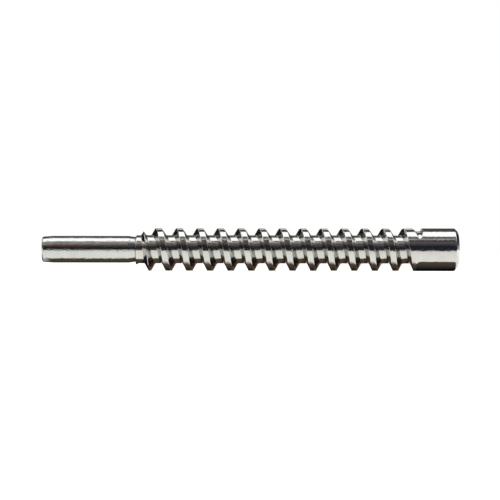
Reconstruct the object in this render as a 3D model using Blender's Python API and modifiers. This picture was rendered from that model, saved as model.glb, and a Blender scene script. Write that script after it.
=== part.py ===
"""Lead screw with a coarse trapezoidal thread, built as the assembly comes apart on a bench.

The screw is one turned bar: a plain drive head, the right-hand thread, a short collar and, behind the
collar's shoulder, a slim stub. A hardened bearing sleeve with tapered ends turns on the stub, and a washer
and a wire snap ring at the stub's tip keep it on.

Units are metres, +Z is up and the screw's axis is the X axis, with the head at +X. The origin is on the axis,
halfway between the two ends. Every turned piece is drawn in its own axial frame, where x runs along the axis
from the collar's shoulder and r is the distance from the axis.
"""

import math

import bmesh
import bpy

MM = 0.001
STEPS = 36  # facets round a turned piece, and sections in one turn of the thread

# Screw: a ground bar with the thread milled into it
HEAD_RADIUS = 8.0 * MM
CREST_RADIUS = 7.9 * MM
ROOT_RADIUS = 5.3 * MM
COLLAR_RADIUS = 5.25 * MM
BODY_LENGTH = 121.15 * MM  # from the collar's shoulder to the head's end
HEAD_CHAMFER = 1.25 * MM
SHOULDER_CHAMFER = 0.15 * MM

# Thread: one start, right-hand
PITCH = 7.75 * MM
GROOVE_MOUTH = 5.62 * MM  # the groove's axial width at the crest
NEAR_FLANK_ANGLE = math.radians(33)  # from the radial plane, of the groove's side towards the collar
FAR_FLANK_ANGLE = math.radians(28.5)  # of its side towards the head
TOP_RIDGE = 16.38 * MM  # middle of a ridge where the thread passes over the top of the screw
GROOVES_BEFORE = 3  # grooves between that ridge and the place where the cutter comes in
GROOVE_TURNS = 15
RUNOUT_END = 14.667  # turns from the cutter's start to where the groove has faded out
RUNOUT_TURNS = 0.5
RUNOUT_RISE_POWER = 1.5  # above 1, so that the cutter lifts slowly at first
RUNOUT_DRIFT = 0.90 * MM  # how far the groove bends towards the head halfway through its run-out
RUNOUT_POINT_SHIFT = -0.60 * MM  # how far its point is moved, towards the head if positive
RUNOUT_POINT_POWER = 12  # well above 1, so that the floor closes to a point late
RUNOUT_NEAR_ANGLE = math.radians(42)  # of the flank on the collar's side, where the groove has faded out
RUNOUT_FAR_ANGLE = math.radians(6)  # of the flank on the head's side, there
MIN_FLOOR = 0.1  # share of the floor's width that the cutter keeps beyond the point
CUTTER_STAND_OFF = 0.6 * MM  # how far the groove cutter stands out of the bar

# The wall where the thread rises from the collar: a cone that leans, towards the head at the bottom of the
# screw and away from it at the top
WALL_FOOT = 2.70 * MM
WALL_CREST = 4.44 * MM
WALL_FOOT_LEAN = 0.65 * MM
WALL_CREST_LEAN = 0.40 * MM
HEAD_START = 107.35 * MM

# Stub, sleeve and what keeps the sleeve on
STUB_RADIUS = 3.0 * MM
RUNNING_GAP = 0.05 * MM
END_FLOAT = 0.1 * MM  # between the sleeve and the shoulder
SLEEVE_LENGTH = 34.75 * MM
SLEEVE_RADIUS = 5.0 * MM
SLEEVE_FAR_TAPER = (4.2 * MM, 0.25 * MM)  # length, drop in radius
SLEEVE_NEAR_TAPER = (2.6 * MM, 0.35 * MM)
SLEEVE_END_CHAMFER = 0.45 * MM
COUNTERBORE_RADIUS = 3.8 * MM
COUNTERBORE_DEPTH = 2.0 * MM
FACE_GAP = 0.1 * MM
WASHER_THICKNESS = 0.5 * MM
WASHER_RADIUS = 3.65 * MM
WIRE_RADIUS = 0.35 * MM
RING_GROOVE_DEPTH = 0.35 * MM
RING_GROOVE_CLEARANCE = 0.1 * MM
RING_SEAT_GAP = 0.02 * MM
RING_OPENING = math.radians(40)
RING_POINTS = 33
STUB_TIP_CHAMFER = 0.15 * MM
STUB_SETBACK = 0.1 * MM  # stub tip behind the sleeve's end face

# 60 degree lathe centres
CENTRE_SLOPE = math.tan(math.radians(30))
HEAD_CENTRE_RADIUS = 1.6 * MM
STUB_CENTRE_RADIUS = 1.1 * MM

# Positions along the axis, from the shoulder
SLEEVE_FAR_END = -(SLEEVE_LENGTH + END_FLOAT)
SLEEVE_NEAR_END = -END_FLOAT
COUNTERBORE_FLOOR = SLEEVE_FAR_END + COUNTERBORE_DEPTH
WASHER_OUTER_FACE = COUNTERBORE_FLOOR - FACE_GAP - WASHER_THICKNESS
RING_MIDDLE = WASHER_OUTER_FACE - FACE_GAP - WIRE_RADIUS
STUB_TIP = SLEEVE_FAR_END + STUB_SETBACK
SHOULDER_X = -(BODY_LENGTH + SLEEVE_FAR_END) / 2  # the shoulder's place in the world

COLLECTION = "lead_screw"
CUTTERS = "cutters"


def clear_scene():
    for leftover in list(bpy.data.objects):
        bpy.data.objects.remove(leftover, do_unlink=True)


def collection(name):
    made = bpy.data.collections.new(name)
    bpy.context.scene.collection.children.link(made)
    return made


def steel(name, colour, roughness):
    made = bpy.data.materials.new(name)
    made.use_nodes = True
    shader = made.node_tree.nodes["Principled BSDF"]
    shader.inputs["Base Color"].default_value = (*colour, 1.0)
    shader.inputs["Metallic"].default_value = 1.0
    shader.inputs["Roughness"].default_value = roughness
    return made


def axis_empty(name, parts):
    """An empty at the shoulder, turned so that its local +Z runs along the world's +X."""
    empty = bpy.data.objects.new(name, None)
    empty.location = (SHOULDER_X, 0.0, 0.0)
    empty.rotation_euler = (0.0, math.radians(90), 0.0)
    parts.objects.link(empty)
    return empty


def link_object(name, data, home, parent, material=None):
    made = bpy.data.objects.new(name, data)
    made.parent = parent
    home.objects.link(made)
    if material:
        data.materials.append(material)
    return made


def profile_mesh(name, outline, closed):
    """An outline of (x, r) points, drawn in the local XZ plane as a chain of edges."""
    count = len(outline)
    points = [(radius, 0.0, along) for along, radius in outline]
    edges = [(i, (i + 1) % count) for i in range(count if closed else count - 1)]
    mesh = bpy.data.meshes.new(name)
    mesh.from_pydata(points, edges, [])
    return mesh


def spin(made, pitch=0.0, turns=1):
    """Winds an object's profile about the axis, for a turned shape or, with a pitch, a helical one."""
    screw = made.modifiers.new("Spin", "SCREW")
    screw.axis = "Z"
    screw.steps = STEPS
    screw.render_steps = STEPS
    screw.screw_offset = pitch
    screw.iterations = turns
    screw.use_merge_vertices = True
    screw.merge_threshold = 0.001 * MM
    screw.use_smooth_shade = False


def shade(mesh):
    mesh.shade_smooth()
    mesh.set_sharp_from_angle(angle=math.radians(25))


def bake(made):
    """Replaces an object's mesh by what its modifiers make of it."""
    bpy.context.view_layer.update()
    graph = bpy.context.evaluated_depsgraph_get()
    mesh = bpy.data.meshes.new_from_object(made.evaluated_get(graph))
    made.modifiers.clear()
    made.data = mesh
    return mesh


def turned(name, outline, closed, home, parent, material):
    """A turned piece. The outline runs from the head's side to the sleeve's side along its outer edge."""
    made = link_object(name, profile_mesh(name, outline, closed), home, parent, material)
    spin(made)
    shade(bake(made))
    return made


def lathe_centre(face, inward, radius):
    """The two outline points of a conical centre hole: its bottom on the axis and its rim on the face."""
    return [(face + inward * radius / CENTRE_SLOPE, 0.0), (face, radius)]


def bar_outline():
    """The bar before the thread is milled, from the head's end to the stub's tip."""
    ring_left = RING_MIDDLE - WIRE_RADIUS - RING_GROOVE_CLEARANCE
    ring_right = RING_MIDDLE + WIRE_RADIUS + RING_GROOVE_CLEARANCE
    groove_radius = STUB_RADIUS - RING_GROOVE_DEPTH
    head = lathe_centre(BODY_LENGTH, -1, HEAD_CENTRE_RADIUS) + [
        (BODY_LENGTH, HEAD_RADIUS - HEAD_CHAMFER),
        (BODY_LENGTH - HEAD_CHAMFER, HEAD_RADIUS),
        (HEAD_START, HEAD_RADIUS),
        (HEAD_START, CREST_RADIUS),
    ]
    collar = [
        (WALL_CREST, CREST_RADIUS),
        (WALL_FOOT, COLLAR_RADIUS),
        (SHOULDER_CHAMFER, COLLAR_RADIUS),
        (0.0, COLLAR_RADIUS - SHOULDER_CHAMFER),
        (0.0, STUB_RADIUS),
    ]
    stub = [
        (ring_right, STUB_RADIUS),
        (ring_right, groove_radius),
        (ring_left, groove_radius),
        (ring_left, STUB_RADIUS),
        (STUB_TIP + STUB_TIP_CHAMFER, STUB_RADIUS),
        (STUB_TIP, STUB_RADIUS - STUB_TIP_CHAMFER),
    ]
    return head + collar + stub + lathe_centre(STUB_TIP, 1, STUB_CENTRE_RADIUS)[::-1]


def lean_wall(mesh):
    """Tilts the wall's two rings, its foot and its crest. Local +X is the world's down."""
    before_wall = (SHOULDER_CHAMFER + WALL_FOOT) / 2
    within_wall = (WALL_FOOT + WALL_CREST) / 2
    after_wall = (WALL_CREST + HEAD_START) / 2
    for vertex in mesh.vertices:
        if before_wall < vertex.co.z < within_wall:
            vertex.co.z += WALL_FOOT_LEAN * vertex.co.x / COLLAR_RADIUS
        elif within_wall < vertex.co.z < after_wall:
            vertex.co.z += WALL_CREST_LEAN * vertex.co.x / CREST_RADIUS


def half_floor(flank_angle):
    """From the groove's middle to the foot of the flank with this angle."""
    return GROOVE_MOUTH / 2 - (CREST_RADIUS - ROOT_RADIUS) * math.tan(flank_angle)


def groove_section():
    """The groove's trapezoid where the cutter comes in, with its outer side beyond the bar."""
    middle = TOP_RIDGE - GROOVES_BEFORE * PITCH
    outer = HEAD_RADIUS + CUTTER_STAND_OFF
    near_foot = middle - half_floor(NEAR_FLANK_ANGLE)
    far_foot = middle + half_floor(FAR_FLANK_ANGLE)
    return [
        (far_foot + (outer - ROOT_RADIUS) * math.tan(FAR_FLANK_ANGLE), outer),
        (near_foot - (outer - ROOT_RADIUS) * math.tan(NEAR_FLANK_ANGLE), outer),
        (near_foot, ROOT_RADIUS),
        (far_foot, ROOT_RADIUS),
    ]


def fade_runout(mesh):
    """Draws the cutter back over the end of the groove, which rises to the surface and closes in a point.

    Faded is 0 where the run-out starts and 1 where the groove has faded out.
    """
    points_in_section = len(groove_section())
    first_middle = TOP_RIDGE - GROOVES_BEFORE * PITCH
    for vertex in mesh.vertices:
        turn = (vertex.index // points_in_section) / STEPS
        faded = (turn - RUNOUT_END) / RUNOUT_TURNS + 1
        if faded <= 0:
            continue
        within = min(faded, 1.0)
        radius = math.hypot(vertex.co.x, vertex.co.y)
        on_far_side = vertex.co.z > first_middle + PITCH * turn
        first_angle = FAR_FLANK_ANGLE if on_far_side else NEAR_FLANK_ANGLE
        last_angle = RUNOUT_FAR_ANGLE if on_far_side else RUNOUT_NEAR_ANGLE
        angle = first_angle + (last_angle - first_angle) * within
        floor_left = max(1 - within ** RUNOUT_POINT_POWER, MIN_FLOOR)
        reach = half_floor(first_angle) * floor_left + (radius - ROOT_RADIUS) * math.tan(angle)
        drift = RUNOUT_DRIFT * 4 * within * (1 - within)
        middle = first_middle + PITCH * turn + drift + RUNOUT_POINT_SHIFT * within ** 2
        vertex.co.z = middle + (reach if on_far_side else -reach)
        rise = (HEAD_RADIUS - ROOT_RADIUS) * faded ** RUNOUT_RISE_POWER
        vertex.co.x *= (radius + rise) / radius
        vertex.co.y *= (radius + rise) / radius


def cap_ends(mesh):
    """Closes the two open ends of the wound section and turns all its faces outwards."""
    editable = bmesh.new()
    editable.from_mesh(mesh)
    rim = [edge for edge in editable.edges if edge.is_boundary]
    bmesh.ops.holes_fill(editable, edges=rim, sides=len(groove_section()))
    bmesh.ops.recalc_face_normals(editable, faces=editable.faces)
    editable.to_mesh(mesh)
    editable.free()


def groove_cutter(home, parent):
    """The thread's groove as a solid: its section wound along the bar by a Screw modifier.

    It is wound on by half a facet, so that none of its edges runs along one of the bar's.
    """
    cutter = link_object("thread_groove", profile_mesh("thread_groove", groove_section(), True), home, parent)
    spin(cutter, PITCH, GROOVE_TURNS)
    mesh = bake(cutter)
    fade_runout(mesh)
    cap_ends(mesh)
    cutter.rotation_euler.z = math.pi / STEPS
    cutter.location.z = PITCH / (2 * STEPS)
    cutter.hide_render = True
    cutter.display_type = "WIRE"
    return cutter


def screw_shaft(home, cutters, parent, material):
    shaft = turned("screw_shaft", bar_outline(), False, home, parent, material)
    lean_wall(shaft.data)
    milling = shaft.modifiers.new("Thread", "BOOLEAN")
    milling.operation = "DIFFERENCE"
    milling.solver = "EXACT"
    milling.object = groove_cutter(cutters, parent)
    return shaft


def sleeve_outline():
    near_length, near_drop = SLEEVE_NEAR_TAPER
    far_length, far_drop = SLEEVE_FAR_TAPER
    bore_radius = STUB_RADIUS + RUNNING_GAP
    far_rim = SLEEVE_RADIUS - far_drop
    return [
        (SLEEVE_NEAR_END, SLEEVE_RADIUS - near_drop),
        (SLEEVE_NEAR_END - near_length, SLEEVE_RADIUS),
        (SLEEVE_FAR_END + far_length, SLEEVE_RADIUS),
        (SLEEVE_FAR_END + SLEEVE_END_CHAMFER, far_rim),
        (SLEEVE_FAR_END, far_rim - SLEEVE_END_CHAMFER),
        (SLEEVE_FAR_END, COUNTERBORE_RADIUS),
        (COUNTERBORE_FLOOR, COUNTERBORE_RADIUS),
        (COUNTERBORE_FLOOR, bore_radius),
        (SLEEVE_NEAR_END, bore_radius),
    ]


def washer_outline():
    inner_face = COUNTERBORE_FLOOR - FACE_GAP
    bore_radius = STUB_RADIUS + RUNNING_GAP
    return [
        (inner_face, WASHER_RADIUS),
        (WASHER_OUTER_FACE, WASHER_RADIUS),
        (WASHER_OUTER_FACE, bore_radius),
        (inner_face, bore_radius),
    ]


def snap_ring(home, parent, material):
    """A wire bent to an open ring, its gap at the bottom, seated in the stub's groove."""
    radius = STUB_RADIUS - RING_GROOVE_DEPTH + RING_SEAT_GAP + WIRE_RADIUS
    wire = bpy.data.curves.new("snap_ring", "CURVE")
    wire.dimensions = "3D"
    wire.bevel_depth = WIRE_RADIUS
    wire.bevel_resolution = 2
    wire.use_fill_caps = True
    path = wire.splines.new("POLY")
    path.points.add(RING_POINTS - 1)
    sweep = 2 * math.pi - RING_OPENING
    for index, point in enumerate(path.points):
        angle = RING_OPENING / 2 + sweep * index / (RING_POINTS - 1)
        point.co = (radius * math.cos(angle), radius * math.sin(angle), RING_MIDDLE, 1.0)
    return link_object("snap_ring", wire, home, parent, material)


def build():
    clear_scene()
    parts = collection(COLLECTION)
    cutters = collection(CUTTERS)
    axis = axis_empty("screw_axis", parts)

    ground_steel = steel("ground_steel", (0.56, 0.55, 0.54), 0.12)
    sleeve_steel = steel("sleeve_steel", (0.55, 0.53, 0.50), 0.16)
    spring_steel = steel("spring_steel", (0.30, 0.29, 0.28), 0.30)
    zinc_steel = steel("zinc_steel", (0.62, 0.62, 0.60), 0.25)

    screw_shaft(parts, cutters, axis, ground_steel)
    turned("bearing_sleeve", sleeve_outline(), True, parts, axis, sleeve_steel)
    turned("thrust_washer", washer_outline(), True, parts, axis, zinc_steel)
    snap_ring(parts, axis, spring_steel)


build()
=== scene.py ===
"""The looks of the lead screw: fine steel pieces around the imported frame, over a pale floor in soft light.

Lengths are millimetres unless a comment says otherwise, and are made metres where a mesh or an object takes
them. Along the screw, x runs from the collar's shoulder towards the head. A turn runs from 0 to 1 round the
screw, from the bottom by way of the far side and the top to the near side.
"""

import math

import bpy
import numpy as np
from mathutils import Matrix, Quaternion, Vector


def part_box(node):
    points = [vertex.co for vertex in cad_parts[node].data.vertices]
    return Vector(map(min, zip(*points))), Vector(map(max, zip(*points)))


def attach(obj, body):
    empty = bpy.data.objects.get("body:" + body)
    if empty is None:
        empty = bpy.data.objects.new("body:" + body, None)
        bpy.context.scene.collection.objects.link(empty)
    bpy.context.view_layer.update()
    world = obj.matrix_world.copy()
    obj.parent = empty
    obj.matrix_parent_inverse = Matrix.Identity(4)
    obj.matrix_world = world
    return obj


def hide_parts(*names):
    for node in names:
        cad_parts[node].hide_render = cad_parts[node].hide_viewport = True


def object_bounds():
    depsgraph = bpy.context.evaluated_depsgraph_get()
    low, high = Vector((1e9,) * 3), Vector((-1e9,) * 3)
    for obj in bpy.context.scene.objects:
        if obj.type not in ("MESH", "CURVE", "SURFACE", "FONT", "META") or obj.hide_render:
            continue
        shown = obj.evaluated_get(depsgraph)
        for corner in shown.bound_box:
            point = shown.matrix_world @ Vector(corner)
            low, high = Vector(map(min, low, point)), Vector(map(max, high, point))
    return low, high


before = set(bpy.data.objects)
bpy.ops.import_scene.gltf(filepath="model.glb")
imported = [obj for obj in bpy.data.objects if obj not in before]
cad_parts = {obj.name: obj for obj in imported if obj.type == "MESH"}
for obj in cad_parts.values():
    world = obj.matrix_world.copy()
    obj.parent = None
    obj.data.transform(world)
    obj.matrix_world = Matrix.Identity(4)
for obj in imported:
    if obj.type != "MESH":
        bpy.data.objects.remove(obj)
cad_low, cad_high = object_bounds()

MM = 0.001

# Taken from the frame
SHAFT_LOW, SHAFT_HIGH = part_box("screw_shaft")
SLEEVE_LOW, SLEEVE_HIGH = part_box("bearing_sleeve")
WASHER_LOW, WASHER_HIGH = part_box("thrust_washer")
RING_LOW, RING_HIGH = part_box("snap_ring")
END_FLOAT = 0.1  # the frame's gap between the sleeve and the collar
SHOULDER = SLEEVE_HIGH.x / MM + END_FLOAT
BODY_LENGTH = SHAFT_HIGH.x / MM - SHOULDER
STUB_TIP = SHAFT_LOW.x / MM - SHOULDER
HEAD_RADIUS = SHAFT_HIGH.z / MM
SLEEVE_RADIUS = SLEEVE_HIGH.z / MM
SLEEVE_FAR_END = SLEEVE_LOW.x / MM - SHOULDER
WASHER_OUTER_FACE = WASHER_LOW.x / MM - SHOULDER
WASHER_INNER_FACE = WASHER_HIGH.x / MM - SHOULDER
WASHER_RADIUS = WASHER_HIGH.z / MM
RING_MIDDLE = (RING_LOW.x + RING_HIGH.x) / 2 / MM - SHOULDER
WIRE_RADIUS = (RING_HIGH.x - RING_LOW.x) / 2 / MM
RING_RADIUS = RING_HIGH.y / MM - WIRE_RADIUS

# Screw
CREST_RADIUS = 7.9
ROOT_RADIUS = 5.3
COLLAR_RADIUS = 5.25
PITCH = 7.75
GROOVE_MOUTH = 5.62  # the groove's axial width at the crest
NEAR_FLANK_ANGLE = math.radians(33)  # from the radial plane, of the groove's side towards the journal
FAR_FLANK_ANGLE = math.radians(28.5)  # of its side towards the head
FIRST_GROOVE = 16.38 - 3 * PITCH  # the middle of the groove's first turn, at the bottom
HEAD_RAMP = (98.0, 107.35)  # where the crest widens to the head's radius
HEAD_CHAMFER = 1.25
WALL_FOOT = 2.70  # the wall between the collar and the thread, halfway up the screw
WALL_CREST = 4.44
WALL_FOOT_LEAN = 0.65  # how much further from the collar it is at the bottom
WALL_CREST_LEAN = 0.40

# The groove's run-out, where the cutter was drawn back
RUNOUT_END = 14.667  # in turns from the first groove
RUNOUT_TURNS = 0.5
RUNOUT_RISE_POWER = 1.5
RUNOUT_DRIFT = 0.90
RUNOUT_POINT_SHIFT = -0.60
RUNOUT_POINT_POWER = 12
RUNOUT_NEAR_ANGLE = math.radians(42)
RUNOUT_FAR_ANGLE = math.radians(6)

# Each burr's x, half-width, height, turn and spread in turns
RUNOUT_BURR = (107.35, 0.28, 1.0, 0.5, 0.016)
COLLAR_BURR = (0.50, 0.38, 0.50, 0.0, 0.05)
START_BURR = (3.45, 0.60, 0.45, 0.52, 0.06)

# Stub
STUB_RADIUS = 3.0
STUB_TIP_CHAMFER = 0.15
RING_GROOVE_DEPTH = 0.35
RING_GROOVE_CLEARANCE = 0.1

# Lathe centres
CENTRE_SLOPE = math.tan(math.radians(30))
HEAD_CENTRE_RADIUS = 1.6
STUB_CENTRE_RADIUS = 1.1

# Broken edges
COLLAR_CHAMFER = (0.06, 0.5)  # at the bottom and at the top of the screw
CREST_ROUND = 0.18
FLOOR_ROUND = 0.22
STUB_ROUND = 0.08
HEAD_ROUND = 0.15
SLEEVE_ROUND = 0.12
WASHER_ROUND = 0.08

# Sleeve, its near end towards the collar; a taper is its length and its drop
SLEEVE_NEAR_END = -0.05
SLEEVE_FAR_TAPER = (4.2, 0.25)
SLEEVE_NEAR_TAPER = (2.6, 0.35)
SLEEVE_END_CHAMFER = 0.45
COUNTERBORE_RADIUS = 3.8
COUNTERBORE_DEPTH = 2.0
BORE_RADIUS = 3.05  # the washer's bore too

# Snap ring
RING_OPENING = math.radians(40)

# Mesh
COLUMNS = 160  # points round each piece
CORNER_STEPS = 4  # to a rounded corner
CORNER_SHARE = 0.4  # of an outline's edge, the most that a rounded corner takes
RING_POINTS = 97
THREAD_ZONE = (0.05, 118.6)  # the stretch meshed along the helix
ZONE_CLEARANCE = 0.03
START_ZONE_END = 6.0
LINE_CLEARANCE = 0.05
RUNOUT_ZONE = (FIRST_GROOVE + 13.5 * PITCH, FIRST_GROOVE + 14.8 * PITCH)
START_STEP = 0.1
RUNOUT_STEP = 0.12
HEAD_STEP = 0.8
FLOOR_LINE = 0.4  # its share of the way from the groove's middle to the flank's foot
FOOT_LINES = (-0.24, -0.12, -0.03, 0.04, 0.12)  # from the foot
FLANK_LINES = (0.3, 0.5, 0.7)  # shares of the way up the flank
EDGE_LINES = (-0.12, -0.06, 0.0, 0.06, 0.12, 0.45)  # from the flank's upper edge
LAST_KEY = 1e9  # after every mesh line
SAME_KEY = 1e-6

# Steel. A noise is its scale per metre, its detail, and how many times as often it repeats along the screw as
# across it. Ends are the values of a noise between which its effect sets in.
WAVES = (520.0, 1.0, 1.0)
MOTTLE = (1900.0, 2.0, 0.8)
TURNING = (900.0, 2.0, 12.0)
GRAIN = (9000.0, 2.0, 1.0)
PATCHES = (260.0, 4.0, 1.0)
SPECKS = (2600.0, 1.0, 1.0)
GRAIN_DEPTH = 0.0003
SPECK_ENDS = (0.76, 0.80)
SPECK_SHARE = 0.7
SPECK_ROUGHNESS = 0.3
PATCH_COLOUR_ENDS = (0.4, 0.75)
PATCH_ROUGH_ENDS = (0.3, 0.8)
PATCH_SHADE = 0.72
PATCH_SHARE = 0.22
PATCH_ROUGHNESS = (0.8, 1.5)  # times the steel's own
TURNING_ENDS = (0.3, 0.7)
TURNING_ROUGHNESS = (-0.015, 0.03)
INNER_ROUGHNESS = 1.7  # times the outer
# The darker colour on both sides of the seam between the sleeve and the collar
SEAM_DARK_REACH = (0.12, 0.07)  # from the middle of the sleeve's gap, where the darkening starts and where it is full
SEAM_DARK_DEPTH = (1.0, 0.7)  # under the collar's surface
SEAM_DARK_SHARE = 0.3
# The colour of the dark specks, and of the darkening at the seam between the sleeve and the collar
DARK_MARK = (0.05, 0.045, 0.04)
MIX_COLOUR_INPUTS = (6, 7)  # of a Mix node's sockets, those for colours
MIX_COLOUR_OUTPUT = 2

# Studio. Light is in units of the white behind the screw. The room's colours in reflections go by the angle
# about the x axis, in degrees: 0 towards the camera, 90 overhead, 180 behind. The second list is for
# reflections that go towards the journal's side.
ROOM_BY_ANGLE = (
    (0, (0.020, 0.022, 0.026)),
    (20, (0.024, 0.025, 0.032)),
    (33, (0.105, 0.101, 0.120)),
    (43.5, (0.138, 0.132, 0.150)),
    (46.5, (0.055, 0.051, 0.055)),
    (50, (0.045, 0.042, 0.046)),
    (53, (0.085, 0.078, 0.080)),
    (55, (0.60, 0.475, 0.425)),
    (61, (0.46, 0.38, 0.36)),
    (64, (0.13, 0.14, 0.17)),
    (74, (0.15, 0.16, 0.19)),
    (114, (0.11, 0.11, 0.10)),
    (180, (0.05, 0.05, 0.045)),
)
ROOM_BY_ANGLE_LEFT = (
    (0, (0.020, 0.018, 0.016)),
    (18, (0.024, 0.021, 0.018)),
    (27, (0.085, 0.058, 0.045)),
    (36, (0.19, 0.125, 0.092)),
    (45, (0.34, 0.275, 0.225)),
    (54, (0.58, 0.51, 0.45)),
    (62, (0.31, 0.285, 0.26)),
    (66, (0.20, 0.20, 0.175)),
    (74, (0.62, 0.61, 0.59)),
    (114, (0.088, 0.090, 0.074)),
    (180, (0.058, 0.058, 0.047)),
)
LINE_START = (53.5, 55)  # the room's pale red line, in degrees
LINE_END = (62.5, 60)
LINE_COLOUR = (1.0, 0.76, 0.62)
CARD_WHITE = (1.0, 1.0, 0.98)
AMBIENT = 1.22
SOFTBOX_RADIANCE = 1.62

# The shade under the screw
WALL_SHADE_START = SHOULDER + 2.6
THREAD_SHADE_START = SHOULDER + 4.0
HEAD_SHADE_START = SHOULDER + 105.2
SHADE_UNDER_ROOT = 4.95
SHADE_SWING = 3.2  # how much further out the shade reaches under a ridge
SHADED_RIDGE = SHOULDER + FIRST_GROOVE + 1.3 * PITCH  # a ridge's place over the shade's edge
SHADE_BACK = 30.0  # how far behind the screw its cards reach

# Heights over the frame's lowest or highest point
FLOOR_LIFT = -0.01
REFLECTOR_LIFT = 0.001
SHADE_LIFT = 0.002
CREST_CARD_LIFT = 1.0

# The stage, in metres
FLOOR_HALF = 8.0
FLAG_HALF = 1.5
REFLECTOR_HALF = 0.4
CARD_FRONT = -0.064
REFLECTOR_BACK = -0.004
REFLECTOR_FADE = (-0.045, -0.009)
SOFTBOX_LENGTH = 2.4
SOFTBOX_FRONT = -0.129
SOFTBOX_BACK = 0.202
SOFTBOX_HEIGHT = 0.5
CAMERA_PLACE = (-0.0254, -0.7723, 0.0)
CAMERA_TARGET = (-0.0002, 0.0, -0.0002)
CAMERA_LENS = 148.1  # in millimetres, as Blender takes it
CAMERA_ROLL = math.radians(0.07)


def metres(*lengths):
    return tuple(length * MM for length in lengths)


# ---------------------------------------------------------------- shapes


def smooth_min(a, b, blend):
    """The lower of a and b, rounded off where they cross."""
    share = np.clip(0.5 + 0.5 * (b - a) / blend, 0.0, 1.0)
    return b + (a - b) * share - blend * share * (1.0 - share)


def smooth_max(a, b, blend):
    return -smooth_min(-a, -b, blend)


def smooth_step(value):
    """From 0 to 1 while the value does the same, with a slow start and a slow end."""
    share = np.clip(value, 0.0, 1.0)
    return share * share * (3.0 - 2.0 * share)


def hump(value, width):
    """1 where the value is 0, and close to 0 from twice the width on."""
    return np.exp(-((value / width) ** 2))


def burr(x, turn, burr_x, half_width, height, burr_turn, spread):
    away = (turn - burr_turn + 0.5) % 1.0 - 0.5
    return height * hump(x - burr_x, half_width) * hump(away, spread)


def collar_radius(x, turn):
    """The collar, its edge broken most at the top of the screw."""
    bottom, top = COLLAR_CHAMFER
    upward = (0.5 - 0.5 * np.cos(2 * np.pi * turn)) ** 2
    chamfer = bottom + (top - bottom) * upward
    return COLLAR_RADIUS - np.maximum(0.0, chamfer - x)


def bar_radius(x, turn):
    """The bar before its thread is cut: collar, leaning wall, crest and head."""
    downward = np.cos(2 * np.pi * turn)
    foot = WALL_FOOT + WALL_FOOT_LEAN * downward
    crest = WALL_CREST + WALL_CREST_LEAN * downward
    wall = COLLAR_RADIUS + (x - foot) / (crest - foot) * (CREST_RADIUS - COLLAR_RADIUS)
    start, end = HEAD_RAMP
    top = CREST_RADIUS + (HEAD_RADIUS - CREST_RADIUS) * smooth_step((x - start) / (end - start))
    return smooth_min(np.maximum(wall, collar_radius(x, turn)), top, CREST_ROUND)


def half_floor(flank_angle):
    """From the groove's middle to the foot of the flank with this angle."""
    return GROOVE_MOUTH / 2 - (CREST_RADIUS - ROOT_RADIUS) * math.tan(flank_angle)


def groove_radius(x, turn):
    """The thread's groove: a flat floor, straight flanks, and the pointed run-out."""
    along = x - FIRST_GROOVE - PITCH * turn
    number = np.round(along / PITCH)
    faded = np.clip((number + turn - RUNOUT_END) / RUNOUT_TURNS + 1.0, 0.0, 2.0)
    within = np.minimum(faded, 1.0)
    drift = RUNOUT_DRIFT * 4 * within * (1 - within) + RUNOUT_POINT_SHIFT * within ** 2
    aside = along - PITCH * number - drift
    on_far_side = aside > 0.0
    floor = np.where(on_far_side, half_floor(FAR_FLANK_ANGLE), half_floor(NEAR_FLANK_ANGLE))
    floor = floor * (1 - within ** RUNOUT_POINT_POWER)
    first_angle = np.where(on_far_side, FAR_FLANK_ANGLE, NEAR_FLANK_ANGLE)
    last_angle = np.where(on_far_side, RUNOUT_FAR_ANGLE, RUNOUT_NEAR_ANGLE)
    angle = first_angle + (last_angle - first_angle) * within
    flank = (np.abs(aside) - floor) / np.tan(angle)
    rise = (HEAD_RADIUS - ROOT_RADIUS) * faded ** RUNOUT_RISE_POWER
    return ROOT_RADIUS + rise + smooth_max(flank, 0.0, FLOOR_ROUND)


def screw_radius(x, turn):
    cut = smooth_min(bar_radius(x, turn), groove_radius(x, turn), CREST_ROUND)
    cut = np.minimum(cut + burr(x, turn, *RUNOUT_BURR), HEAD_RADIUS)
    return cut + burr(x, turn, *COLLAR_BURR) + burr(x, turn, *START_BURR)


def lines_across_flank(flank_angle):
    """From the groove's middle, past the foot and the edge of the flank with this angle."""
    foot = half_floor(flank_angle)
    edge = GROOVE_MOUTH / 2
    lines = [foot * FLOOR_LINE]
    lines += [foot + step for step in FOOT_LINES]
    lines += [foot + (edge - foot) * share for share in FLANK_LINES]
    return lines + [edge + step for step in EDGE_LINES]


def helix_lines():
    """Where the mesh lines that follow the helix start at turn 0: close together where the thread bends."""
    near = [-step for step in lines_across_flank(NEAR_FLANK_ANGLE)]
    one_pitch = sorted(near + [0.0] + lines_across_flank(FAR_FLANK_ANGLE) + [PITCH / 2])
    grooves = [FIRST_GROOVE + PITCH * number for number in range(math.ceil(THREAD_ZONE[1] / PITCH))]
    thread = [groove + step for groove in grooves for step in one_pitch]
    thread_start = START_ZONE_END + LINE_CLEARANCE
    thread_end = RUNOUT_ZONE[0] - LINE_CLEARANCE
    lines = np.arange(THREAD_ZONE[0] - PITCH, START_ZONE_END, START_STEP).tolist()
    lines += [line for line in thread if thread_start < line < thread_end]
    lines += np.arange(*RUNOUT_ZONE, RUNOUT_STEP).tolist()
    lines += np.arange(RUNOUT_ZONE[1] + HEAD_STEP / 2, THREAD_ZONE[1], HEAD_STEP).tolist()
    return np.array(lines)


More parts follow.
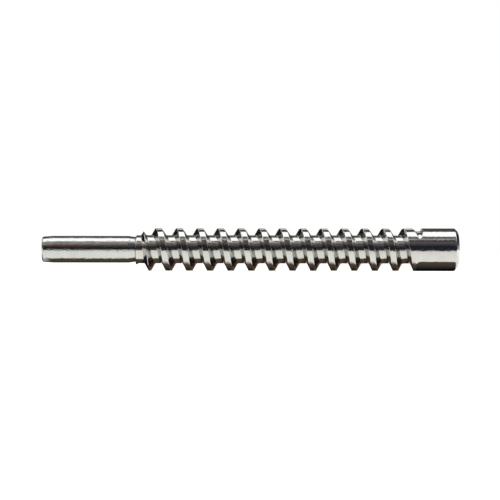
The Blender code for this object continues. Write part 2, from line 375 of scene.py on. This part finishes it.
class Shell:
    """A mesh built up from rings and columns of points about the x axis."""

    def __init__(self):
        self.points = []
        self.faces = []

    def add(self, x, radius, turn):
        angle = 2 * math.pi * turn
        self.points.append(metres(SHOULDER + x, radius * math.sin(angle), -radius * math.cos(angle)))
        return len(self.points) - 1

    def ring(self, x, radius):
        return [self.add(x, radius, column / COLUMNS) for column in range(COLUMNS)]

    def bridge(self, first, second):
        """Quads between two rings. On an outer surface the second ring is further along the screw."""
        for column in range(COLUMNS):
            after = (column + 1) % COLUMNS
            self.faces.append((first[column], first[after], second[after], second[column]))

    def stack(self, outline):
        """A ring for each (x, r) of the outline, each joined to the next."""
        rings = [self.ring(x, radius) for x, radius in outline]
        for before, after in zip(rings, rings[1:]):
            self.bridge(before, after)
        return rings

    def join_columns(self, left, right):
        """Faces between two columns, each a list of (key, point) in rising key order."""
        i = j = 0
        while i < len(left) - 1 or j < len(right) - 1:
            key_left = left[i + 1][0] if i < len(left) - 1 else math.inf
            key_right = right[j + 1][0] if j < len(right) - 1 else math.inf
            if abs(key_left - key_right) < SAME_KEY:
                self.faces.append((left[i][1], right[j][1], right[j + 1][1], left[i + 1][1]))
                i += 1
                j += 1
            elif key_left < key_right:
                self.faces.append((left[i][1], right[j][1], left[i + 1][1]))
                i += 1
            else:
                self.faces.append((left[i][1], right[j][1], right[j + 1][1]))
                j += 1

    def fan(self, x, ring, forward):
        """Closes a ring to a point on the axis."""
        middle = self.add(x, 0.0, 0.0)
        for column in range(COLUMNS):
            after = (column + 1) % COLUMNS
            pair = (ring[column], ring[after]) if forward else (ring[after], ring[column])
            self.faces.append((middle, *pair))

    def object(self, name, material):
        mesh = bpy.data.meshes.new(name)
        mesh.from_pydata(self.points, [], self.faces)
        mesh.validate()
        mesh.shade_smooth()
        made = bpy.data.objects.new(name, mesh)
        bpy.context.scene.collection.objects.link(made)
        mesh.materials.append(material)
        weighted = made.modifiers.new("Face normals", "WEIGHTED_NORMAL")
        weighted.weight = 90
        return made


def rounded(outline, radius, closed=False):
    """An outline of (x, r) with each corner that isn't on the axis replaced by a small curve."""
    count = len(outline)
    result = []
    for index, (x, r) in enumerate(outline):
        if not closed and index in (0, count - 1) or r == 0.0:
            result.append((x, r))
            continue
        corner = Vector((x, r))
        before = Vector(outline[index - 1]) - corner
        after = Vector(outline[(index + 1) % count]) - corner
        cut = min(radius, before.length * CORNER_SHARE, after.length * CORNER_SHARE)
        start = corner + before.normalized() * cut
        end = corner + after.normalized() * cut
        for step in range(CORNER_STEPS + 1):
            share = step / CORNER_STEPS
            point = start * (1 - share) ** 2 + corner * 2 * share * (1 - share) + end * share ** 2
            result.append((point.x, point.y))
    return result


def stub_outline():
    """From the stub's centre hole out to the collar's edge."""
    left = RING_MIDDLE - WIRE_RADIUS - RING_GROOVE_CLEARANCE
    right = RING_MIDDLE + WIRE_RADIUS + RING_GROOVE_CLEARANCE
    floor = STUB_RADIUS - RING_GROOVE_DEPTH
    return rounded(
        [
            (STUB_TIP + STUB_CENTRE_RADIUS / CENTRE_SLOPE, 0.0),
            (STUB_TIP, STUB_CENTRE_RADIUS),
            (STUB_TIP, STUB_RADIUS - STUB_TIP_CHAMFER),
            (STUB_TIP + STUB_TIP_CHAMFER, STUB_RADIUS),
            (left, STUB_RADIUS),
            (left, floor),
            (right, floor),
            (right, STUB_RADIUS),
            (0.0, STUB_RADIUS),
            (0.0, COLLAR_RADIUS - COLLAR_CHAMFER[1]),
        ],
        STUB_ROUND,
    )


def head_outline():
    """From the head's cylinder to its centre hole."""
    return rounded(
        [
            (THREAD_ZONE[1], HEAD_RADIUS),
            (BODY_LENGTH - HEAD_CHAMFER, HEAD_RADIUS),
            (BODY_LENGTH, HEAD_RADIUS - HEAD_CHAMFER),
            (BODY_LENGTH, HEAD_CENTRE_RADIUS),
            (BODY_LENGTH - HEAD_CENTRE_RADIUS / CENTRE_SLOPE, 0.0),
        ],
        HEAD_ROUND,
    )


def thread_column(shell, column, lines, first_point, last_point):
    """The points of one column through the thread, each with the key of its line, from one given point to
    another."""
    turn = column / COLUMNS
    along = lines + PITCH * turn
    start, end = THREAD_ZONE
    inside = (along > start + ZONE_CLEARANCE) & (along < end - ZONE_CLEARANCE)
    radii = screw_radius(along[inside], turn)
    chain = [(-math.inf, first_point)]
    for key, x, radius in zip(lines[inside], along[inside], radii):
        chain.append((float(key), shell.add(x, radius, turn)))
    return chain + [(LAST_KEY, last_point)]


def build_screw(material):
    shell = Shell()
    stub = stub_outline()
    stub_rings = shell.stack(stub[1:])
    shell.fan(stub[0][0], stub_rings[0], False)
    head = head_outline()
    head_rings = shell.stack(head[:-1])
    shell.fan(head[-1][0], head_rings[-1], True)

    lines = helix_lines()
    ends = zip(stub_rings[-1], head_rings[0])
    columns = [thread_column(shell, column, lines, *pair) for column, pair in enumerate(ends)]
    for left, right in zip(columns, columns[1:]):
        shell.join_columns(left, right)
    # A line is one pitch further along after a whole turn, so the first column's keys go back by one.
    around = [(key if key == LAST_KEY else key - PITCH, point) for key, point in columns[0]]
    shell.join_columns(columns[-1], around)
    return shell.object("lead_screw_body", material)


def build_turned(name, outline, round_by, material):
    """A turned piece with a bore. Its outline is closed and runs with the clock, x to the right and r up."""
    shell = Shell()
    rings = shell.stack(rounded(outline, round_by, True))
    shell.bridge(rings[-1], rings[0])
    return shell.object(name, material)


def build_sleeve(material):
    near_length, near_drop = SLEEVE_NEAR_TAPER
    far_length, far_drop = SLEEVE_FAR_TAPER
    far_rim = SLEEVE_RADIUS - far_drop
    outline = [
        (SLEEVE_NEAR_END, BORE_RADIUS),
        (SLEEVE_FAR_END + COUNTERBORE_DEPTH, BORE_RADIUS),
        (SLEEVE_FAR_END + COUNTERBORE_DEPTH, COUNTERBORE_RADIUS),
        (SLEEVE_FAR_END, COUNTERBORE_RADIUS),
        (SLEEVE_FAR_END, far_rim - SLEEVE_END_CHAMFER),
        (SLEEVE_FAR_END + SLEEVE_END_CHAMFER, far_rim),
        (SLEEVE_FAR_END + far_length, SLEEVE_RADIUS),
        (SLEEVE_NEAR_END - near_length, SLEEVE_RADIUS),
        (SLEEVE_NEAR_END, SLEEVE_RADIUS - near_drop),
    ]
    return build_turned("journal_sleeve", outline, SLEEVE_ROUND, material)


def build_washer(material):
    outline = [
        (WASHER_INNER_FACE, BORE_RADIUS),
        (WASHER_OUTER_FACE, BORE_RADIUS),
        (WASHER_OUTER_FACE, WASHER_RADIUS),
        (WASHER_INNER_FACE, WASHER_RADIUS),
    ]
    return build_turned("flat_washer", outline, WASHER_ROUND, material)


def build_ring(material):
    """The open ring of round wire, its gap at the bottom."""
    wire = bpy.data.curves.new("wire_ring", "CURVE")
    wire.dimensions = "3D"
    wire.bevel_depth = WIRE_RADIUS * MM
    wire.bevel_resolution = 6
    wire.use_fill_caps = True
    path = wire.splines.new("POLY")
    path.points.add(RING_POINTS - 1)
    sweep = 2 * math.pi - RING_OPENING
    for index, point in enumerate(path.points):
        angle = RING_OPENING / 2 + sweep * index / (RING_POINTS - 1)
        y, z = RING_RADIUS * math.sin(angle), -RING_RADIUS * math.cos(angle)
        point.co = (*(Vector((SHOULDER + RING_MIDDLE, y, z)) * MM), 1.0)
    wire.materials.append(material)
    made = bpy.data.objects.new("wire_ring", wire)
    bpy.context.scene.collection.objects.link(made)
    return made


# ---------------------------------------------------------------- materials


class Nodes:
    """A short way to add and join shader nodes."""

    def __init__(self, tree):
        self.tree = tree

    def add(self, kind, inputs=None, **settings):
        node = self.tree.nodes.new(kind)
        for key, value in settings.items():
            setattr(node, key, value)
        for key, value in (inputs or {}).items():
            if isinstance(value, bpy.types.NodeSocket):
                self.tree.links.new(value, node.inputs[key])
            else:
                node.inputs[key].default_value = value
        return node

    def math(self, operation, first, second=0.0):
        return self.add("ShaderNodeMath", {0: first, 1: second}, operation=operation).outputs[0]

    def split(self, vector):
        """The x, y and z of a vector."""
        return self.add("ShaderNodeSeparateXYZ", {0: vector}).outputs

    def spread(self, value, low, high, to_low=0.0, to_high=1.0):
        """Runs from to_low, where the value is low, to to_high, where it is high. It stays within them."""
        inputs = {"Value": value, "From Min": low, "From Max": high, "To Min": to_low, "To Max": to_high}
        return self.add("ShaderNodeMapRange", inputs).outputs[0]

    def mask(self, *limits):
        """The product of the limits, each a value and the two ends that it rises between."""
        share = 1.0
        for value, ends in limits:
            share = self.math("MULTIPLY", self.spread(value, *ends), share)
        return share

    def blend(self, share, first, second):
        """From the first colour to the second."""
        inputs = {"Factor": share}
        for key, colour in zip(MIX_COLOUR_INPUTS, (first, second)):
            inputs[key] = colour if isinstance(colour, bpy.types.NodeSocket) else (*colour, 1.0)
        return self.add("ShaderNodeMix", inputs, data_type="RGBA").outputs[MIX_COLOUR_OUTPUT]

    def noise(self, place, scale, detail, along):
        """A noise that repeats "along" times as often along the screw as across it."""
        vector = self.add("ShaderNodeMapping", {"Vector": place, "Scale": (along, 1.0, 1.0)}).outputs[0]
        inputs = {"Vector": vector, "Scale": scale, "Detail": detail}
        return self.add("ShaderNodeTexNoise", inputs).outputs["Fac"]

    def ramp(self, value, stops):
        """A colour from a list of (degrees, colour), by a value that is 0 at 0 degrees and 1 at 180."""
        node = self.add("ShaderNodeValToRGB", {"Fac": value})
        points = node.color_ramp.elements
        while len(points) < len(stops):
            points.new(0.5)
        for point, (degrees, colour) in zip(points, stops):
            point.position = degrees / 180
            point.color = (*colour, 1.0)
        return node.outputs[0]


def seam_darkening(nodes, x, radius):
    """Darker colour on both sides of the seam between the sleeve and the collar, near the surface only."""
    from_seam = nodes.math("ABSOLUTE", nodes.math("SUBTRACT", x, (SHOULDER - END_FLOAT / 2) * MM))
    narrow = nodes.spread(from_seam, *metres(*SEAM_DARK_REACH), 0.0, SEAM_DARK_SHARE)
    outside = nodes.spread(radius, *metres(*(COLLAR_RADIUS - depth for depth in SEAM_DARK_DEPTH)))
    return nodes.math("MULTIPLY", narrow, outside)


def relief_normal(nodes, reliefs):
    """Bumps, one on top of the other, from pairs of a height and its depth in millimetres."""
    normal = None
    for height, depth in reliefs:
        inputs = {"Height": height, "Strength": 1.0, "Distance": depth * MM}
        if normal:
            inputs["Normal"] = normal
        normal = nodes.add("ShaderNodeBump", inputs).outputs[0]
    return normal


def steel(name, inner, outer, radii, roughness, wave_depth, mottle_depth, turning_depth):
    """Machined steel: its colour goes from inner to outer over the two radii. It has turning marks, waves and
    a mottle that make reflected edges wander, a fine grain, duller patches and a few dark specks."""
    material = bpy.data.materials.new(name)
    material.use_nodes = True
    nodes = Nodes(material.node_tree)
    place = nodes.add("ShaderNodeTexCoord").outputs["Object"]
    x, y, z = nodes.split(place)
    squares = nodes.math("ADD", nodes.math("POWER", y, 2.0), nodes.math("POWER", z, 2.0))
    radius = nodes.math("SQRT", squares)
    outward = nodes.spread(radius, *metres(*radii))

    patches = nodes.noise(place, *PATCHES)
    turning = nodes.noise(place, *TURNING)
    specks = nodes.spread(nodes.noise(place, *SPECKS), *SPECK_ENDS)

    worn = tuple(PATCH_SHADE * part for part in inner)
    colour = nodes.blend(outward, inner, outer)
    colour = nodes.blend(nodes.spread(patches, *PATCH_COLOUR_ENDS, 0.0, PATCH_SHARE), colour, worn)
    colour = nodes.blend(nodes.math("MULTIPLY", specks, SPECK_SHARE), colour, DARK_MARK)
    # darker at the seam between the sleeve and the collar
    colour = nodes.blend(seam_darkening(nodes, x, radius), colour, DARK_MARK)

    rough = nodes.spread(patches, *PATCH_ROUGH_ENDS, *(roughness * times for times in PATCH_ROUGHNESS))
    rough = nodes.math("ADD", rough, nodes.spread(turning, *TURNING_ENDS, *TURNING_ROUGHNESS))
    rough = nodes.math("ADD", rough, nodes.math("MULTIPLY", specks, SPECK_ROUGHNESS))
    rough = nodes.math("MULTIPLY", rough, nodes.spread(outward, 0.0, 1.0, INNER_ROUGHNESS, 1.0))

    normal = relief_normal(
        nodes,
        (
            (nodes.noise(place, *WAVES), wave_depth),
            (nodes.noise(place, *MOTTLE), mottle_depth),
            (turning, turning_depth),
            (nodes.noise(place, *GRAIN), GRAIN_DEPTH),
        ),
    )
    shader = material.node_tree.nodes["Principled BSDF"]
    shader.inputs["Metallic"].default_value = 1.0
    for key, value in (("Base Color", colour), ("Roughness", rough), ("Normal", normal)):
        material.node_tree.links.new(value, shader.inputs[key])
    return material


def matt_material(name, colour):
    material = bpy.data.materials.new(name)
    material.use_nodes = True
    shader = material.node_tree.nodes["Principled BSDF"]
    shader.inputs["Base Color"].default_value = (*colour, 1.0)
    shader.inputs["Roughness"].default_value = 1.0
    shader.inputs["Specular IOR Level"].default_value = 0.0
    return material


def glow_material(name, colour_of, clear_of=None):
    """A material that only glows, in the colour that colour_of makes from the nodes. Where clear_of is given
    and makes 1, it is clear."""
    material = bpy.data.materials.new(name)
    material.use_nodes = True
    nodes = Nodes(material.node_tree)
    surface = nodes.add("ShaderNodeEmission", {"Color": colour_of(nodes)}).outputs[0]
    if clear_of:
        clear = nodes.add("ShaderNodeBsdfTransparent").outputs[0]
        surface = nodes.add("ShaderNodeMixShader", {0: clear_of(nodes), 1: surface, 2: clear}).outputs[0]
    output = material.node_tree.nodes["Material Output"]
    material.node_tree.links.new(surface, output.inputs["Surface"])
    return material


def place_of(nodes):
    return nodes.split(nodes.add("ShaderNodeNewGeometry").outputs["Position"])


def ray_of(nodes):
    """The x, y and z of the unit vector from a card towards where its light goes."""
    return nodes.split(nodes.add("ShaderNodeNewGeometry").outputs["Incoming"])


# ---------------------------------------------------------------- studio


def sheet(name, corners, material):
    """A flat piece of the stage."""
    mesh = bpy.data.meshes.new(name)
    mesh.from_pydata(corners, [], [tuple(range(len(corners)))])
    mesh.materials.append(material)
    made = bpy.data.objects.new(name, mesh)
    bpy.context.scene.collection.objects.link(made)
    return made


def level_rectangle(left, right, front, back, height):
    return [(left, front, height), (right, front, height), (right, back, height), (left, back, height)]


def only_in_reflections(made):
    """Hides a card from everything but glossy rays."""
    made.visible_camera = False
    made.visible_diffuse = False
    made.visible_shadow = False
    made.visible_transmission = False
    made.visible_volume_scatter = False


def build_floor():
    height = cad_low.z + FLOOR_LIFT * MM
    corners = level_rectangle(-FLOOR_HALF, FLOOR_HALF, -FLOOR_HALF, FLOOR_HALF, height)
    sheet("floor", corners, matt_material("pale_floor", (0.86, 0.86, 0.85)))


def build_front_flag():
    """A low dark card that ends the pale floor in front of the screw, as the edge of a table would."""
    bottom, top = cad_low.z, 0.0
    outline = ((-FLAG_HALF, bottom), (FLAG_HALF, bottom), (FLAG_HALF, top), (-FLAG_HALF, top))
    material = matt_material("dark_card", (0.03, 0.03, 0.032))
    only_in_reflections(sheet("front_flag", [(x, CARD_FRONT, z) for x, z in outline], material))


def white_below(nodes):
    near = nodes.spread(place_of(nodes)[1], *REFLECTOR_FADE)
    return nodes.blend(near, (1.02, 1.02, 0.95), (1.19, 1.19, 1.11))


def build_reflector():
    """A white card in front of the screw, seen only in reflections: it makes the light from below even."""
    height = cad_low.z + REFLECTOR_LIFT * MM
    corners = level_rectangle(-REFLECTOR_HALF, REFLECTOR_HALF, CARD_FRONT, REFLECTOR_BACK, height)
    only_in_reflections(sheet("reflector", corners, glow_material("reflector", white_below)))


def thread_shade(nodes, x, away):
    """Brown, and nearly black where a ridge rests on the floor."""
    turns = nodes.math("DIVIDE", nodes.math("SUBTRACT", x, SHADED_RIDGE * MM), PITCH * MM)
    swing = nodes.math("COSINE", nodes.math("MULTIPLY", turns, 2 * math.pi))
    ridge = (-0.6, 0.4)
    under_ridge = nodes.mask((away, metres(5.5, 1.5)), (swing, ridge))
    shade = nodes.blend(under_ridge, (0.115, 0.080, 0.052), (0.020, 0.011, 0.009))
    return nodes.blend(nodes.spread(away, *metres(5.7, 8.1)), shade, (0.95, 0.93, 0.88))


def head_shade(nodes, away):
    contact = nodes.spread(away, *metres(6.5, 2.4))
    return nodes.blend(contact, (0.095, 0.078, 0.055), (0.004, 0.003, 0.004))


def journal_shade(nodes, x, y):
    """Brown under the sleeve, paler under its far end and beyond, and nearly black behind."""
    end = SLEEVE_LOW.x / MM
    under_end = nodes.spread(x, *metres(end + 2.6, end + 0.8))
    beyond = nodes.spread(x, *metres(end - 1.0, end - 3.0))
    shade = nodes.blend(under_end, (0.097, 0.076, 0.044), (0.50, 0.50, 0.44))
    shade = nodes.blend(beyond, shade, (0.30, 0.31, 0.27))
    return nodes.blend(nodes.spread(y, *metres(2.0, 3.0)), shade, (0.010, 0.008, 0.006))


def shade_below(nodes):
    """The shade's colour along the screw. It is nearly black under the wall beside the collar, and in
    reflections that go steeply to the left from the collar or the thread."""
    x, y, _ = place_of(nodes)
    away = nodes.math("ABSOLUTE", y)
    colour = journal_shade(nodes, x, y)
    for start, further in (
        (WALL_SHADE_START, (0.015, 0.010, 0.008)),
        (THREAD_SHADE_START, thread_shade(nodes, x, away)),
        (HEAD_SHADE_START, head_shade(nodes, away)),
    ):
        colour = nodes.blend(nodes.math("GREATER_THAN", x, start * MM), colour, further)
    leaning = (0.20, 0.34)
    sleeve_part = 8.0
    past_sleeve = nodes.math("GREATER_THAN", x, (SHOULDER - sleeve_part) * MM)
    from_right = nodes.math("MULTIPLY", nodes.spread(ray_of(nodes)[0], *leaning), past_sleeve)
    return nodes.blend(from_right, colour, (0.012, 0.010, 0.009))


def thread_shade_front():
    """Under the thread the shade's front edge swings out under each ridge."""
    length = HEAD_SHADE_START - THREAD_SHADE_START
    steps = 8 * round(length / PITCH)
    points = []
    for step in range(steps + 1):
        x = THREAD_SHADE_START + length * step / steps
        swing = math.cos(2 * math.pi * (x - SHADED_RIDGE) / PITCH)
        points.append((x, -SHADE_UNDER_ROOT - SHADE_SWING * (0.5 + 0.5 * swing) ** 2))
    return points


def head_shade_front():
    """Straight, with its corners cut."""
    end = SHAFT_HIGH.x / MM
    corner = 1.3
    corner_front, front = -6.2, -7.9
    return [
        (HEAD_SHADE_START, corner_front),
        (HEAD_SHADE_START + corner, front),
        (end - corner, front),
        (end, corner_front),
    ]


def journal_shade_front():
    """Straight under the sleeve, and set back beyond its far end."""
    end = SLEEVE_LOW.x / MM
    beyond_front, front = -2.5, -4.1
    return [
        (end - 25.0, beyond_front),
        (end - 1.0, beyond_front),
        (end + 0.8, front),
        (THREAD_SHADE_START, front),
    ]


def build_shade_cards():
    """Dark cards just above the floor, seen only in reflections: the deep shade right under the screw."""
    height = cad_low.z + SHADE_LIFT * MM
    material = glow_material("shade_card", shade_below)
    for name, front in (
        ("shade_under_journal", journal_shade_front()),
        ("shade_under_thread", thread_shade_front()),
        ("shade_under_head", head_shade_front()),
    ):
        outline = front + [(front[-1][0], SHADE_BACK), (front[0][0], SHADE_BACK)]
        only_in_reflections(sheet(name, [(x * MM, y * MM, height) for x, y in outline], material))


def build_crest_card(name, front, back, steepest, colour):
    """A narrow card just over the thread, for reflections that rise at less than "steepest" degrees."""
    height = cad_high.z + CREST_CARD_LIFT * MM
    start, end = metres(SHOULDER + WALL_CREST, SHOULDER + HEAD_RAMP[1])

    def steep(nodes):
        rise = nodes.math("ABSOLUTE", ray_of(nodes)[2])
        return nodes.math("GREATER_THAN", rise, math.sin(math.radians(steepest)))

    material = glow_material(name, lambda nodes: (*colour, 1.0), steep)
    corners = level_rectangle(start, end, front * MM, back * MM, height)
    only_in_reflections(sheet(name, corners, material))


def build_crest_cards():
    """The thin pale line along the top of each ridge, and the dark line in front of it."""
    build_crest_card("crest_line_dark", -2.5, -1.35, 59, (0.015, 0.015, 0.016))
    build_crest_card("crest_line_pale", -1.35, 2.0, 47, (0.72, 0.66, 0.58))


def room_glow(nodes, direction):
    """The room by the angle about the x axis. Its pale red line is stronger in reflections that don't go to
    the right."""
    x, y, z = direction
    line_side = (0.106, 0.098)
    line_share = 0.55
    left_side = (-0.012, -0.028)
    angle = nodes.math("ARCTAN2", z, nodes.math("MULTIPLY", y, -1.0))
    share = nodes.spread(angle, 0.0, math.pi)
    start, end = (tuple(degrees / 180 for degrees in limit) for limit in (LINE_START, LINE_END))
    line = nodes.mask((share, start), (share, end))
    line = nodes.math("MULTIPLY", line, nodes.spread(x, *line_side, 0.0, line_share))
    room = nodes.blend(line, nodes.ramp(share, ROOM_BY_ANGLE), LINE_COLOUR)
    return nodes.blend(nodes.spread(x, *left_side), room, nodes.ramp(share, ROOM_BY_ANGLE_LEFT))


def right_glow(nodes, direction):
    """Behind to the right: white low down and dark above. Far to the right it is grey low down instead."""
    x, _, z = direction
    white_top = (0.34, 0.28)
    grey_top = (0.14, 0.19)
    dim_top = (0.27, 0.33)
    far_side = (0.53, 0.58)
    near = nodes.blend(nodes.spread(z, *white_top), (0.02, 0.02, 0.02), CARD_WHITE)
    far = nodes.blend(nodes.spread(z, *grey_top), (0.55, 0.55, 0.53), (0.11, 0.11, 0.115))
    far = nodes.blend(nodes.spread(z, *dim_top), far, (0.02, 0.02, 0.025))
    return nodes.blend(nodes.spread(x, *far_side), near, far)


def left_glow(nodes, direction):
    """Behind to the left: dark, with one white card."""
    _, y, z = direction
    card_bottom = (0.37, 0.40)
    card_top = (0.57, 0.53)
    card_side = (0.40, 0.46)
    card = nodes.mask((z, card_bottom), (z, card_top), (y, card_side))
    return nodes.blend(card, (0.012, 0.012, 0.010), CARD_WHITE)


def build_world():
    """White behind the screw and as ambient light, and in reflections a dim room with a few cards."""
    world = bpy.data.worlds.new("studio")
    bpy.context.scene.world = world
    world.use_nodes = True
    world.cycles.sampling_method = "NONE"
    nodes = Nodes(world.node_tree)
    direction = nodes.split(nodes.add("ShaderNodeTexCoord").outputs["Generated"])
    x, y, _ = direction
    behind = (0.05, 0.15)
    straight_behind = (0.865, 0.835)
    right_side = (0.16, 0.24)
    left_side = (-0.10, -0.18)
    to_right = nodes.mask((x, right_side), (y, behind), (y, straight_behind))
    to_left = nodes.mask((x, left_side), (y, behind))
    room = nodes.blend(to_right, room_glow(nodes, direction), right_glow(nodes, direction))
    room = nodes.blend(to_left, room, left_glow(nodes, direction))
    path = nodes.add("ShaderNodeLightPath").outputs
    seen = nodes.blend(path["Is Glossy Ray"], (AMBIENT,) * 3, room)
    seen = nodes.blend(path["Is Camera Ray"], seen, (1.0, 1.0, 1.0))
    world.node_tree.links.new(seen, world.node_tree.nodes["Background"].inputs["Color"])


def build_softbox():
    """The long overhead light."""
    light = bpy.data.lights.new("overhead_softbox", "AREA")
    light.shape = "RECTANGLE"
    light.size = SOFTBOX_LENGTH
    light.size_y = SOFTBOX_BACK - SOFTBOX_FRONT
    light.energy = SOFTBOX_RADIANCE * math.pi * light.size * light.size_y
    made = bpy.data.objects.new("overhead_softbox", light)
    made.location = (0.0, (SOFTBOX_FRONT + SOFTBOX_BACK) / 2, SOFTBOX_HEIGHT)
    made.visible_camera = False
    bpy.context.scene.collection.objects.link(made)


def build_camera():
    """Level with the screw, long lens, a little towards the journal's side."""
    camera = bpy.data.cameras.new("camera")
    camera.lens = CAMERA_LENS
    camera.sensor_width = 36.0
    camera.clip_start = 0.01
    made = bpy.data.objects.new("camera", camera)
    made.location = CAMERA_PLACE
    made.rotation_mode = "QUATERNION"
    aim = (Vector(CAMERA_TARGET) - made.location).to_track_quat("-Z", "Y")
    made.rotation_quaternion = aim @ Quaternion((0.0, 0.0, 1.0), CAMERA_ROLL)
    bpy.context.scene.collection.objects.link(made)
    bpy.context.scene.camera = made


def build_pieces():
    screw_steel = steel(
        "screw_steel",
        inner=(0.575, 0.575, 0.565),
        outer=(0.60, 0.60, 0.59),
        radii=(ROOT_RADIUS + 0.3, CREST_RADIUS - 0.1),
        roughness=0.08,
        wave_depth=0.022,
        mottle_depth=0.025,
        turning_depth=0.0006,
    )
    sleeve_steel = steel(
        "journal_steel",
        inner=(0.56, 0.57, 0.56),
        outer=(0.565, 0.575, 0.575),
        radii=(COUNTERBORE_RADIUS, SLEEVE_RADIUS),
        roughness=0.09,
        wave_depth=0.022,
        mottle_depth=0.085,
        turning_depth=0.0006,
    )
    washer_steel = steel(
        "washer_steel",
        inner=(0.60, 0.60, 0.57),
        outer=(0.64, 0.63, 0.60),
        radii=(BORE_RADIUS, WASHER_RADIUS),
        roughness=0.28,
        wave_depth=0.002,
        mottle_depth=0.001,
        turning_depth=0.001,
    )
    ring_steel = steel(
        "ring_steel",
        inner=(0.22, 0.21, 0.20),
        outer=(0.30, 0.29, 0.28),
        radii=(BORE_RADIUS, COUNTERBORE_RADIUS),
        roughness=0.32,
        wave_depth=0.002,
        mottle_depth=0.001,
        turning_depth=0.001,
    )
    for piece, node, slot, body in (
        (build_screw(screw_steel), "screw_shaft", "ground_steel", "screw"),
        (build_sleeve(sleeve_steel), "bearing_sleeve", "sleeve_steel", "sleeve"),
        (build_washer(washer_steel), "thrust_washer", "zinc_steel", "screw"),
        (build_ring(ring_steel), "snap_ring", "spring_steel", "screw"),
    ):
        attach(piece, body)
        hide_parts(node)


def build_studio():
    build_floor()
    build_front_flag()
    build_reflector()
    build_shade_cards()
    build_crest_cards()
    build_softbox()
    build_world()
    build_camera()
    bpy.context.scene.view_settings.view_transform = "Standard"


build_pieces()
build_studio()
